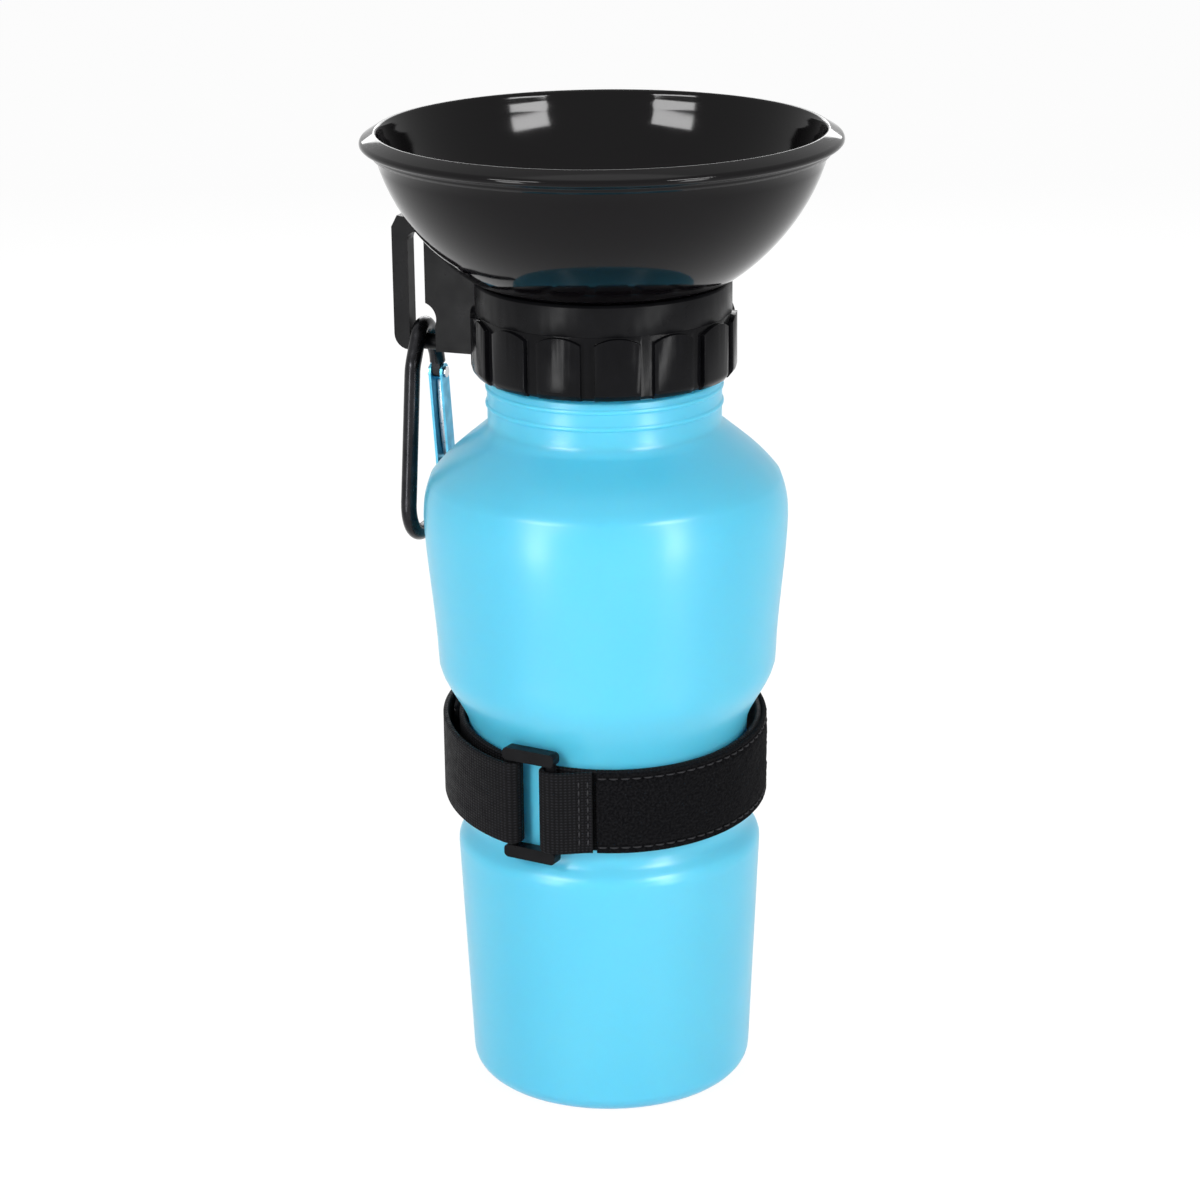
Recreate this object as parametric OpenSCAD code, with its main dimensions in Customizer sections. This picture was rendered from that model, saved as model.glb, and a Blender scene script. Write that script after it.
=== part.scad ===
// Squeeze bottle for watering a dog on a walk: a waisted bottle with a drinking bowl screwed
// on its neck, a hanger with a carabiner, and a webbing hand strap round the waist.
// The bottle stands on z = 0 with its axis on z. The hanger points to -X, the buckle to -Y.

/* [Bottle] */
// Outer radius of the bottle just above the heel
base_r = 36.4; // [34:0.1:37]
// Radius of the rounded heel under the lower body
heel_r = 5.7; // [4:0.1:8]
// Outer radius at the top of the lower body
lower_r = 39.1; // [38:0.1:40]
// Height of the lower body, from the ground to its rounded top edge
lower_h = 63.5; // [50:0.5:75]
// Height of the rounded step from the lower body in to the waist
step_h = 7.5; // [6:0.5:10]
// Outer radius of the waist, where the strap lies
waist_r = 35.8; // [33:0.1:37]
// Height of the plain part of the waist
waist_h = 25; // [25:0.5:32]
// Outer radius where the waist has flared out to the upper body
flare_r = 43.2; // [41:0.1:44]
// Height of the flare above the waist
flare_h = 19; // [15:0.5:24]
// Largest outer radius, at the top of the upper body
body_r = 46.1; // [45:0.1:46.1]
// Height of the upper body
body_h = 36; // [30:1:50]
// Height of the shoulder, from the largest radius to the neck
shoulder_h = 24; // [20:0.5:30]
// How far the shoulder has drawn in at its knee
knee_in = 1.9; // [1.4:0.1:3.5]
// Height of the shoulder's knee above the largest radius
knee_h = 10.3; // [8:0.1:12]
// Wall thickness of the blown bottle
wall = 1.5; // [1:0.1:2]
// Height of the dome pushed up in the middle of the base
push_up = 3; // [1.5:0.1:4]
// Inner radius of the ring that the bottle stands on
stand_r = 23; // [16:0.5:26]

/* [Neck] */
// Outer radius of the plain neck below the collar
neck_r = 29.4; // [28:0.1:29.6]
// Height of the plain neck that shows below the threaded mouth
neck_h = 12.2; // [9:0.2:16]
// Height of the threaded mouth inside the collar
mouth_h = 17.8; // [15:0.2:22]
// Inner radius of the mouth
mouth_bore_r = 25.8; // [24.6:0.1:26.2]
// Wall of the mouth without its thread
mouth_wall = 1.9; // [1.5:0.1:2.1]
// Height of the screw thread's crest above the mouth
thread_h = 1.1; // [0.8:0.05:1.2]
// Radius of the two thin beads round the neck
bead_r = 0.8; // [0.5:0.05:1]

/* [Screw collar] */
// Outer radius of the collar between its grips
collar_r = 31.9; // [31.6:0.1:32.4]
// How far the grip pads stand out
grip_proud = 1.3; // [0.8:0.1:2]
// Number of grip pads
grip_count = 14; // [10:1:16]
// Width of one grip pad
grip_w = 11.2; // [8:0.1:12]
// Height of the gripped skirt
skirt_h = 15.8; // [14:0.1:18]
// Thickness of the shelf that clamps the mouth plug
shelf_t = 2; // [1.5:0.1:2.4]
// Wall of the hub that carries the hanger's ring
hub_wall = 1.15; // [1:0.05:1.3]

/* [Hanger] */
// Wall of the hanger's ring
ring_wall = 1.75; // [1.4:0.05:2]
// Thickness of the lip on top of the hanger's ring
ring_lip = 1.6; // [0.8:0.1:2]
// Thickness of the hanger plate, and diameter of the bar under its slot
plate_t = 4.2; // [3.6:0.1:4.6]
// Distance of the hanger plate's outer edge from the bottle's axis
plate_reach = 55.9; // [55.6:0.1:57]
// Height of the hanger plate
plate_h = 34.5; // [30:0.5:35]
// Width of the upright outside the slot
upright_w = 4.3; // [3.5:0.1:5]
// Width of the slot, which lets the carabiner's wire through
slot_w = 4.4; // [4.3:0.1:5]
// Material above the slot
slot_top = 4; // [3:0.1:6]
// Radius of the round eye at the slot's foot
eye_r = 4.3; // [4.2:0.1:4.6]
// Radius of the plate's outer lower corner
corner_r = 4; // [2:0.1:4.2]

/* [Bowl] */
// Outer radius of the bowl where it meets the collar
bowl_foot_r = 32; // [31:0.1:32.6]
// Outer radius of the bowl's wall just under its rim
bowl_top_r = 55.6; // [53:0.1:60]
// Height of the bowl's wall from the collar to the rim
bowl_h = 31.8; // [28:0.1:45]
// Wall thickness of the bowl
bowl_wall = 1.8; // [1.4:0.1:2.2]
// How far the rolled rim stands out from the wall
rim_out = 3.75; // [3:0.05:5]
// Height of the rolled rim
rim_h = 5.5; // [4.5:0.1:7]
// Outer radius of the spigot that goes down through the collar
spigot_r = 25.2; // [24.4:0.1:25.6]

/* [Mouth plug and tube] */
// Thickness of the plug's flange over the mouth
flange_t = 1.4; // [1:0.1:1.8]
// Radius of the plug's raised disc
disc_r = 22; // [18:0.5:23.5]
// Height of the raised disc above the flange
disc_h = 0.5; // [0.3:0.1:0.6]
// Length of the plug's skirt inside the mouth
plug_skirt_h = 7.6; // [4:0.2:12]
// Outer radius of the dip tube
tube_r = 4; // [3:0.1:4.5]
// Wall of the dip tube
tube_wall = 1; // [0.6:0.1:1.2]
// Gap between the dip tube's foot and the inside of the bottle's base
tube_foot_gap = 4.5; // [2:0.5:15]
// Depth of the dip tube in its socket
socket_h = 15.4; // [10:0.2:20]
// Radius of the nozzle that comes up through the bowl's floor
nozzle_r = 5; // [4.4:0.1:5.4]
// Radius of the bead that holds the bowl on the nozzle
nozzle_bead_r = 6.8; // [6.5:0.1:7.4]
// Thickness of the flat sealing ring on the mouth
gasket_t = 1.56; // [1.2:0.02:2]
// Section radius of the nozzle's sealing ring
seal_r = 0.55; // [0.5:0.01:0.58]

/* [Carabiner] */
// Diameter of the carabiner's wire
wire_d = 4; // [3.6:0.1:4]
// Distance of the carabiner from the bottle's axis
clip_reach = 48.6; // [48.5:0.05:49.2]
// Angle of the two upper legs from upright
top_slope = 30; // [25:1:35]
// Length of the two straight upper legs
top_leg = 7; // [5:0.5:9]
// Angle of the spine and the gate from upright
side_slope = 8; // [4:1:12]
// Length of the straight spine
spine_l = 33; // [29:0.5:40]
// Bend radius between an upper leg and the spine
shoulder_bend = 8; // [6:0.5:10]
// Bend radius of the two lower corners
foot_bend = 8.5; // [7:0.5:10]
// Length of the straight foot
foot_l = 9; // [6:0.5:14]

/* [Gate] */
// Width of the gate, across the carabiner's plane
gate_w = 3.8; // [3.6:0.1:4.2]
// Depth of the gate, in the carabiner's plane
gate_d = 4.4; // [4.2:0.1:4.8]
// Sheet thickness of the folded gate
gate_t = 0.65; // [0.5:0.05:0.7]
// Radius of the rivet that the gate turns on
rivet_r = 0.72; // [0.6:0.02:0.76]
// Radius of the latch pin across the gate's free end
latch_r = 0.7; // [0.6:0.02:0.75]
// Length of the leaf spring inside the gate
leaf_l = 21; // [14:0.5:21.5]
// Thickness of the leaf spring
leaf_t = 0.4; // [0.3:0.05:0.5]

/* [Strap] */
// Width of the webbing
web_w = 21.5; // [20:0.5:23]
// Thickness of the webbing
web_t = 1.5; // [1.2:0.05:1.6]
// Slack between the waist and the strap at the front
front_slack = 0.6; // [0.4:0.1:1.2]
// Slack between the waist and the strap at the sides
side_slack = 1.6; // [1.5:0.1:2.2]
// Slack between the waist and the strap at the back
back_slack = 4.1; // [3.9:0.1:5]
// How far the strap drops at the front and rises at the back
strap_drop = 2.5; // [1:0.1:3]
// How far the strap drops at its right and rises at its left
strap_lean = 1.5; // [0:0.1:1.6]
// Thickness of the loop pile sewn on the strap
loop_t = 1.6; // [1.2:0.1:1.8]
// Thickness of the hook tape on the free end
hook_t = 0.9; // [0.6:0.1:1.1]
// Angle that the sewn fold reaches past the buckle's direction
fold_end = 13.5; // [12:0.5:16]
// Angle where the loop pile stops under the free end
loop_end = 290; // [270:2:296]
// Angle that the free end reaches round the side
free_end = 125; // [110:1:140]
// Angle at which the hook tape starts on the free end
hook_start = 82; // [76:1:90]

/* [Buckle] */
// Direction of the buckle, from -Y towards +X
buckle_a = -9.5; // [-12:0.1:-6]
// Distance of each upright bar from the buckle's middle
bar_off = 5.6; // [5.4:0.1:5.8]
// Radius of the upright bars
buckle_bar_r = 1.35; // [1.1:0.05:1.5]
// Half of the buckle's width
buckle_half_w = 7.3; // [7.1:0.1:9]
// Height of the buckle's top and bottom bars
buckle_end_h = 3.3; // [2.5:0.1:4]
// Thickness of the buckle's top and bottom bars
buckle_t = 3.2; // [2.8:0.1:3.6]

/* [Clearances] */
// Gap between pieces that lie on each other
seat_gap = 0.04; // [0.02:0.01:0.06]
// Radial gap of a pin or tube in its hole
run_gap = 0.05; // [0.02:0.01:0.08]
// Gap between neighbouring pieces that move past each other
pass_gap = 0.3; // [0.25:0.05:0.4]

/* [Hidden] */
$fn = 64;
far = 200;

// Heights up the bottle
waist_z = lower_h + step_h;
flare_z = waist_z + waist_h;
body_z = flare_z + flare_h;
shoulder_z = body_z + body_h;
neck_z = shoulder_z + shoulder_h;
mouth_z = neck_z + neck_h;
top_z = mouth_z + mouth_h;

// Heights up the head, each resting on the one below
mouth_r = mouth_bore_r + mouth_wall;
crest_r = mouth_r + thread_h;
flange_z = top_z + gasket_t + 2 * seat_gap;
disc_z = flange_z + flange_t + disc_h;
shelf_z = flange_z + flange_t + seat_gap;
floor_z = disc_z + seat_gap;
collar_z = mouth_z + 1;
hub_z = collar_z + skirt_h;
skirt_bore_r = crest_r + 0.25;
hub_r = skirt_bore_r + hub_wall;
ring_r = hub_r + run_gap + ring_wall;
hub_top_z = shelf_z + shelf_t;
ring_top_z = hub_top_z + seat_gap + ring_lip;
bowl_z = ring_top_z + pass_gap;
rim_z = bowl_z + bowl_h;
bowl_bore_r = nozzle_r + 2 * seal_r + 2 * run_gap;
bowl_floor_t = bowl_wall;
socket_z = flange_z - socket_h;

// The hanger's bar, which the carabiner hangs on
bar_r = plate_t / 2 - 0.05;
bar_z = collar_z + plate_t / 2 + 1.8;
clip_r = wire_d / 2;
top_bend = bar_r + pass_gap + clip_r;
slot_out = plate_reach - upright_w;
slot_in = slot_out - slot_w;
eye_z = bar_z + bar_r + eye_r - 0.1;
plate_z = bar_z - plate_t / 2;

// The carabiner's wire as straight lengths, each with a left-hand bend: [length, bend radius, angle]
side_turn = top_slope - side_slope;
foot_turn = 90 + side_slope;
crown = top_bend * [cos(180 - top_slope), sin(180 - top_slope)];
wire_end = [0.5, 0, 0];
half_top = [[top_leg, shoulder_bend, side_turn], wire_end];
crown_foot = path_point(half_top, crown, 270 - top_slope);
wire_start = [-crown_foot.x, crown_foot.y];
wire_heading = 90 + side_slope;
wire_path = [
    [wire_end[0], shoulder_bend, side_turn],
    [top_leg, top_bend, 180 - 2 * top_slope],
    [top_leg, shoulder_bend, side_turn],
    [spine_l, foot_bend, foot_turn],
    [foot_l, foot_bend, foot_turn],
    wire_end
];
nose = path_point(wire_path, wire_start, wire_heading);

// The gate runs from the rivet, s = 0, down to the latch pin
tongue_gap = gate_d / 2 + 0.6;
gate_heading = side_slope - 90;
gate_pivot = wire_start + tongue_gap * [cos(gate_heading), sin(gate_heading)];
gate_run = norm(nose - wire_start);
latch_s = gate_run - 2 * tongue_gap;
gate_end_s = gate_run - tongue_gap - 0.6;
tongue_w = gate_w - 2 * gate_t - 0.3;
tongue_r = gate_d / 2 - gate_t - 0.1;

// The strap's inner face is an oval round the waist
strap_rx = waist_r + side_slack;
strap_ry = waist_r + (front_slack + back_slack) / 2;
strap_cy = (back_slack - front_slack) / 2;
strap_z = flare_z - 8.4;
web_step = 4;
wrap_r = buckle_bar_r + 0.2 + web_t / 2;
bar_centre = web_t + 0.2 + buckle_bar_r;
over_bar = bar_centre + wrap_r;
fold_off = 1.5 * web_t + 2 * seat_gap;
pile_off = web_t + seat_gap;
hook_off = pile_off + loop_t + seat_gap;
free_off = hook_off + hook_t + seat_gap + web_t / 2;
bar_turn = asin(bar_off / (strap_ry - strap_cy + bar_centre));
right_bar_a = buckle_a + bar_turn;
left_bar_a = buckle_a - bar_turn;
right_bar = strap_at(right_bar_a, bar_centre);
left_bar = strap_at(left_bar_a, bar_centre);
pile_start = fold_end + 1.5;
thread_r = 0.25;

// Points along an arc, from angle a to angle b
function arc(c, r, a, b, n = 8) = [for (i = [0:n]) c + r * [cos(a + (b - a) * i / n), sin(a + (b - a) * i / n)]];

// Points along a cubic curve, without its first point
function curve(a, b, c, d, n = 8) = [
    for (i = [1:n]) let (t = i / n, u = 1 - t) u * u * u * a + 3 * u * u * t * b + 3 * u * t * t * c + t * t * t * d
];

// A profile moved to its left by a thickness
function left_of(p, t) = [
    for (i = [0:len(p) - 1])
        let (a = p[max(i - 1, 0)], b = p[min(i + 1, len(p) - 1)], d = (b - a) / norm(b - a)) p[i] + t * [-d.y, d.x]
];

function backwards(p) = [for (i = [len(p) - 1:-1:0]) p[i]];

// A smooth rise from 0 to 1
function ease(t) = let (u = min(max(t, 0), 1)) u * u * (3 - 2 * u);

// Where a wire's straight lengths and bends end
function path_point(steps, p, heading, i = 0) =
    i == len(steps) ? p
    : let (s = steps[i], q = p + s[0] * [cos(heading), sin(heading)], c = q + s[1] * [-sin(heading), cos(heading)])
        path_point(steps, c + s[1] * [sin(heading + s[2]), -cos(heading + s[2])], heading + s[2], i + 1);

// The bottle's outside, from the axis under the base up to the neck
bottle_skin = concat(
    arc([0, -(stand_r * stand_r - push_up * push_up) / (2 * push_up)],
        (stand_r * stand_r + push_up * push_up) / (2 * push_up),
        90, 90 - 2 * atan(push_up / stand_r), 6),
    arc([base_r - heel_r, heel_r], heel_r, -90, 0, 8),
    [[lower_r, lower_h]],
    curve([lower_r, lower_h], [lower_r + 0.15, lower_h + step_h / 2],
        [waist_r + 0.1, lower_h + step_h / 2], [waist_r, waist_z]),
    [[waist_r, flare_z]],
    curve([waist_r, flare_z], [waist_r + 0.1, flare_z + 0.3 * flare_h],
        [flare_r + 0.5, flare_z + 0.66 * flare_h], [flare_r, body_z]),
    curve([flare_r, body_z], [flare_r + 0.3, body_z + 0.3 * body_h],
        [body_r - 0.2, body_z + 0.72 * body_h], [body_r, shoulder_z]),
    curve([body_r, shoulder_z], [body_r, shoulder_z + knee_h / 2],
        [body_r - 0.4 * knee_in, shoulder_z + 0.7 * knee_h], [body_r - knee_in, shoulder_z + knee_h]),
    curve([body_r - knee_in, shoulder_z + knee_h],
        [body_r - knee_in - 4.2, shoulder_z + knee_h + 5.3],
        [neck_r + 8.8, neck_z - 7.3], [neck_r, neck_z], 10)
);

bowl_skin = concat(
    [[bowl_foot_r, bowl_z]],
    curve([bowl_foot_r, bowl_z], [bowl_foot_r + 8.9, bowl_z + 0.17 * bowl_h],
        [bowl_top_r - 3.5, bowl_z + 0.54 * bowl_h], [bowl_top_r, rim_z], 14)
);

// Oval of the strap: a is the angle from -Y towards +X, out is the distance from the inner face
function strap_at(a, out) = [(strap_rx + out) * sin(a), strap_cy - (strap_ry + out) * cos(a)];
function strap_height(p) = strap_z + strap_drop * (p.y - strap_cy) / strap_ry - strap_lean * p.x / strap_rx;
function stations(a, b, step) = let (n = ceil(abs(b - a) / step)) [for (i = [0:n]) a + (b - a) * i / n];

// Half a turn of webbing round an upright bar of the buckle; side is -1 for the right bar
function wrap(a, side, n = 8) = [
    for (i = [1:n - 1])
        let (t = 180 * i / n, out = [sin(a), -cos(a)], along = [cos(a), sin(a)])
            strap_at(a, bar_centre) - side * wrap_r * cos(t) * out + side * wrap_r * sin(t) * along
];

function fold_at(a, out = 0) =
    strap_at(a, out + fold_off + (over_bar - fold_off) * ease((fold_end - a) / (fold_end - right_bar_a)));

fold_path = [for (a = stations(fold_end, right_bar_a, 3)) fold_at(a)];
round_path = [for (a = stations(right_bar_a, 360 + left_bar_a, web_step)) strap_at(a, web_t / 2)];
free_path = [
    for (a = stations(left_bar_a, -free_end, web_step))
        strap_at(a, over_bar + (free_off - over_bar) * ease((left_bar_a - a) / 40))
];
web_path = concat(fold_path, wrap(right_bar_a, -1), round_path, wrap(left_bar_a, 1), free_path);

// A flat band along a path in plan, t thick and h high, its middle dz above the strap's middle
module band(path, t, h, dz = 0) {
    n = len(path);
    function side(i) = let (d = path[min(i + 1, n - 1)] - path[max(i - 1, 0)]) [d.y, -d.x] / norm(d);
    points = [
        for (i = [0:n - 1], k = [0:3])
            let (s = (k == 0 || k == 3) ? -1 : 1, v = (k < 2) ? -1 : 1, q = path[i] + s * t / 2 * side(i))
                [q.x, q.y, strap_height(path[i]) + dz + v * h / 2]
    ];
    faces = concat(
        [[3, 2, 1], [3, 1, 0]],
        [for (i = [0:n - 2], k = [0:3]) let (a = 4 * i + k, b = 4 * i + (k + 1) % 4) each [[a, b, b + 4], [a, b + 4, a + 4]]],
        [[4 * n - 4, 4 * n - 3, 4 * n - 2], [4 * n - 4, 4 * n - 2, 4 * n - 1]]
    );
    polyhedron(points, faces);
}

module bottle() {
    shoulder_in = left_of(bottle_skin, wall);
    outside = concat(
        bottle_skin,
        arc([neck_r - 0.3, neck_z + 0.45 * neck_h], bead_r, -65, 65, 6),
        arc([neck_r - 0.3, neck_z + 0.8 * neck_h], bead_r, -65, 65, 6),
        [[neck_r, mouth_z - 0.6], [neck_r - 0.6, mouth_z], [mouth_r, mouth_z],
            [mouth_r, top_z - 0.5], [mouth_r - 0.5, top_z]]
    );
    inside = concat([[0, push_up + wall]], [for (p = shoulder_in) if (p.x > 0.5) p]);
    neck_in = [[neck_r - wall, mouth_z - 2.5], [mouth_bore_r, mouth_z], [mouth_bore_r, top_z]];
    color("deepskyblue")
        rotate_extrude() polygon(concat(outside, backwards(concat(inside, neck_in))));
}

// One grip pad, standing out of the skirt, with an arched top
module grip_pad() {
    intersection() {
        translate([0, 0, collar_z]) rotate_extrude() polygon([
            [collar_r - 0.5, 0], [collar_r, 0], [collar_r + grip_proud - 0.2, 1.4],
            [collar_r + grip_proud, 2.2], [collar_r + grip_proud, skirt_h], [collar_r - 0.5, skirt_h]
        ]);
        translate([0, 0, collar_z]) rotate([90, 0, 0]) linear_extrude(collar_r + 2 * grip_proud)
            intersection() {
                translate([-grip_w / 2, -1]) square([grip_w, skirt_h + 1]);
                translate([0, skirt_h - grip_w + 0.3]) circle(grip_w - 0.6);
            }
    }
}

module screw_collar() {
    color([0.06, 0.06, 0.065]) union() {
        rotate_extrude() polygon([
            [skirt_bore_r, collar_z], [collar_r - 0.6, collar_z], [collar_r, collar_z + 0.8],
            [collar_r, hub_z - seat_gap], [hub_r, hub_z - seat_gap], [hub_r, hub_top_z],
            [spigot_r + pass_gap, hub_top_z], [spigot_r + pass_gap, shelf_z], [skirt_bore_r, shelf_z]
        ]);
        for (i = [0:grip_count - 1])
            rotate([0, 0, i * 360 / grip_count]) grip_pad();
    }
}

// The plate's outline in the X-Z plane; its inner top edge follows the bowl
module plate_outline() {
    top = plate_z + plate_h;
    under_bowl = [for (p = left_of(bowl_skin, -1.5)) if (p.y > ring_top_z && p.y < top) [-p.x, p.y]];
    polygon(concat(
        arc([-plate_reach + corner_r, plate_z + corner_r], corner_r, 180, 270, 6),
        [[-collar_r - grip_proud - pass_gap, plate_z], [-collar_r - grip_proud - pass_gap, hub_z + 0.4],
            [-ring_r + 0.9, hub_z + 0.4], [-ring_r + 0.9, ring_top_z - 0.3]],
        under_bowl,
        [[-plate_reach + 1.6, top], [-plate_reach, top - 3]]
    ));
}

module hanger() {
    eye_in = clip_reach - eye_r + 0.3;
    color([0.05, 0.05, 0.055]) union() {
        rotate_extrude() polygon([
            [hub_r + run_gap, hub_z], [ring_r, hub_z], [ring_r, ring_top_z - 0.6], [ring_r - 0.6, ring_top_z],
            [spigot_r + pass_gap + 1, ring_top_z], [spigot_r + pass_gap + 1, hub_top_z + seat_gap],
            [hub_r + run_gap, hub_top_z + seat_gap]
        ]);
        translate([0, plate_t / 2, 0]) rotate([90, 0, 0]) linear_extrude(plate_t) difference() {
            plate_outline();
            translate([-slot_out, bar_z]) square([slot_w, plate_z + plate_h - slot_top - slot_w / 2 - bar_z]);
            translate([-(slot_in + slot_out) / 2, plate_z + plate_h - slot_top - slot_w / 2]) circle(slot_w / 2);
            intersection() {
                translate([-clip_reach, eye_z]) circle(eye_r);
                translate([-slot_out, 0]) square([far, 2 * far]);
            }
            translate([-slot_out, plate_z - 1]) square([slot_out - eye_in, eye_z - plate_z + 1]);
        }
        translate([-slot_out - 1, 0, bar_z]) rotate([0, 90, 0])
            cylinder(r = bar_r, h = slot_out - eye_in + 2);
    }
}

module bowl() {
    rim_r = bowl_top_r + rim_out;
    inside = left_of(bowl_skin, bowl_wall);
    n = len(bowl_skin) - 1;
    outside = concat(
        [[bowl_bore_r, floor_z], [spigot_r, floor_z], [spigot_r, bowl_z], [bowl_foot_r - 0.4, bowl_z]],
        [for (i = [1:n]) bowl_skin[i]],
        [[bowl_top_r + 0.9, rim_z + 0.3], [bowl_top_r + 1, rim_z + 1.1]],
        curve([bowl_top_r + 1, rim_z + 1.1], [bowl_top_r + 1.4, rim_z + 2.6],
            [rim_r - 0.6, rim_z + rim_h - 2.6], [rim_r, rim_z + rim_h - 1], 6),
        arc([rim_r - 0.6, rim_z + rim_h - 0.6], 0.6, 0, 90, 4),
        [[bowl_top_r + 0.3, rim_z + rim_h]],
        curve([bowl_top_r + 0.3, rim_z + rim_h], [bowl_top_r - 0.9, rim_z + rim_h],
            [bowl_top_r - 0.6, rim_z + 3], inside[n] + [0.1, 0.8], 6)
    );
    color([0.09, 0.08, 0.085, 0.9]) rotate_extrude() polygon(concat(
        outside,
        backwards([for (i = [2:n]) inside[i]]),
        curve(inside[2], inside[1] + [-0.6, -0.3], [spigot_r - 1, floor_z + bowl_floor_t],
            [spigot_r - 4, floor_z + bowl_floor_t], 6),
        [[bowl_bore_r, floor_z + bowl_floor_t]]
    ));
}

// The stopper in the bottle's mouth, with the tube's socket below and the nozzle above
module mouth_plug() {
    port_r = tube_r - tube_wall;
    bead_z = floor_z + bowl_floor_t + 0.1;
    skirt_r = mouth_bore_r - pass_gap;
    color("dodgerblue") rotate_extrude() polygon([
        [port_r, flange_z - 3], [tube_r + run_gap, flange_z - 3], [tube_r + run_gap, socket_z],
        [tube_r + 1.8, socket_z], [tube_r + 2.2, flange_z], [skirt_r - 1.8, flange_z],
        [skirt_r - 1.2, flange_z - plug_skirt_h], [skirt_r - 0.4, flange_z - plug_skirt_h],
        [skirt_r, flange_z - plug_skirt_h + 1.5], [skirt_r, flange_z], [crest_r - 0.4, flange_z],
        [crest_r - 0.4, flange_z + flange_t], [disc_r + 0.3, flange_z + flange_t], [disc_r, disc_z],
        [nozzle_r, disc_z], [nozzle_r, bead_z], [nozzle_bead_r, bead_z], [nozzle_bead_r, bead_z + 0.8],
        [nozzle_r, bead_z + 2.8], [port_r, bead_z + 2.8]
    ]);
}

module neck_gasket() {
    color("lightgray") translate([0, 0, top_z + seat_gap])
        rotate_extrude() translate([mouth_bore_r, 0]) square([mouth_wall + 0.6, gasket_t]);
}

module nozzle_seal() {
    color("gainsboro") translate([0, 0, disc_z + seal_r + seat_gap])
        rotate_extrude() translate([nozzle_r + run_gap + seal_r, 0]) circle(seal_r);
}

// The tube's foot is cut at a slant, so that it can't seal itself on the base
module dip_tube() {
    foot_z = push_up + wall + tube_foot_gap;
    color("aliceblue") difference() {
        translate([0, 0, foot_z]) cylinder(r = tube_r, h = flange_z - 3 - seat_gap - foot_z);
        translate([0, 0, foot_z - 1]) cylinder(r = tube_r - tube_wall, h = far);
        translate([0, 0, foot_z]) rotate([0, 40, 0]) translate([-far / 2, -far / 2, -far])
            cube([far, far, far]);
    }
}

// Puts what is drawn flat, x outwards to the gate and y up, into the carabiner's plane
module in_clip_plane() {
    translate([-clip_reach, 0, bar_z]) rotate([90, 0, 90]) children();
}

// Puts what is drawn along +x from the rivet, y away from the loop, onto the gate
module on_gate() {
    in_clip_plane() translate([gate_pivot.x, gate_pivot.y, 0]) rotate([0, 0, gate_heading]) children();
}

// A round wire along straight lengths and left-hand bends. Each bend starts and ends just inside
// the straight lengths, which are a hair thicker.
module wire(steps, p, heading, i = 0) {
    lap = 2;
    if (i < len(steps)) {
        s = steps[i];
        q = p + s[0] * [cos(heading), sin(heading)];
        c = q + s[1] * [-sin(heading), cos(heading)];
        translate([p.x, p.y, 0]) rotate([0, 0, heading]) rotate([0, 90, 0]) cylinder(r = clip_r + 0.02, h = s[0]);
        if (s[1] > 0)
            translate([c.x, c.y, 0]) rotate([0, 0, heading - 90 - lap])
                rotate_extrude(angle = s[2] + 2 * lap) translate([s[1], 0]) circle(clip_r);
        wire(steps, c + s[1] * [sin(heading + s[2]), -cos(heading + s[2])], heading + s[2], i + 1);
    }
}

// A flat plate standing in the gate's middle plane, of a given width
module blade(w) {
    translate([0, 0, -w / 2]) linear_extrude(w) children();
}

module carabiner_frame() {
    notch_r = latch_r + pass_gap;
    color([0.05, 0.05, 0.055]) union() {
        in_clip_plane() wire(wire_path, wire_start, wire_heading);
        on_gate() blade(tongue_w) difference() {
            union() {
                circle(tongue_r);
                translate([-tongue_gap - 0.5, -tongue_r]) square([tongue_gap + 0.5, 2 * tongue_r]);
            }
            circle(rivet_r + run_gap / 2);
        }
        on_gate() blade(tongue_w) difference() {
            translate([latch_s - 1.6, -tongue_r]) square([tongue_gap + 2.1, 2 * tongue_r]);
            translate([latch_s, 0]) circle(notch_r);
            translate([latch_s - notch_r, -gate_d]) square([2 * notch_r, gate_d]);
        }
    }
}

module carabiner_gate() {
    floor_y = gate_d / 2 - gate_t;
    nose_s = latch_s - 2.4;
    color("deepskyblue") on_gate() difference() {
        blade(gate_w) {
            circle(gate_d / 2);
            translate([0, -gate_d / 2]) square([gate_end_s, gate_d]);
        }
        blade(gate_w - 2 * gate_t) translate([-gate_d, floor_y - far]) square([2 * far, far]);
        blade(gate_w - 2 * gate_t) translate([nose_s, -far / 2]) square([far, far]);
        translate([0, 0, -far / 2]) cylinder(r = rivet_r + run_gap, h = far);
        translate([latch_s, 0, -far / 2]) cylinder(r = latch_r + run_gap / 4, h = far);
    }
}

module gate_rivet() {
    head_r = 2 * rivet_r;
    color("silver") on_gate() union() {
        translate([0, 0, -gate_w / 2 - 0.4]) cylinder(r = rivet_r, h = gate_w + 0.8);
        for (s = [-1, 1])
            translate([0, 0, s * (gate_w / 2 + seat_gap + 0.25)]) cylinder(r = head_r, h = 0.5, center = true);
    }
}

module gate_latch_pin() {
    color("silver") on_gate() translate([latch_s, 0, -gate_w / 2]) cylinder(r = latch_r, h = gate_w);
}

// A bowed steel strip that lies in the folded gate
module gate_leaf_spring() {
    floor_y = gate_d / 2 - gate_t - seat_gap;
    start_s = tongue_r + 1.6;
    bow = 0.7;
    bow_r = (leaf_l * leaf_l / 4 + bow * bow) / (2 * bow);
    bow_a = asin(leaf_l / 2 / bow_r);
    middle = [start_s + leaf_l / 2, floor_y + bow_r - bow];
    color("lightgray") on_gate() blade(tongue_w - 0.2) polygon(concat(
        arc(middle, bow_r + leaf_t, 270 - bow_a, 270 + bow_a, 10),
        backwards(arc(middle, bow_r, 270 - bow_a, 270 + bow_a, 10))
    ));
}

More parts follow.
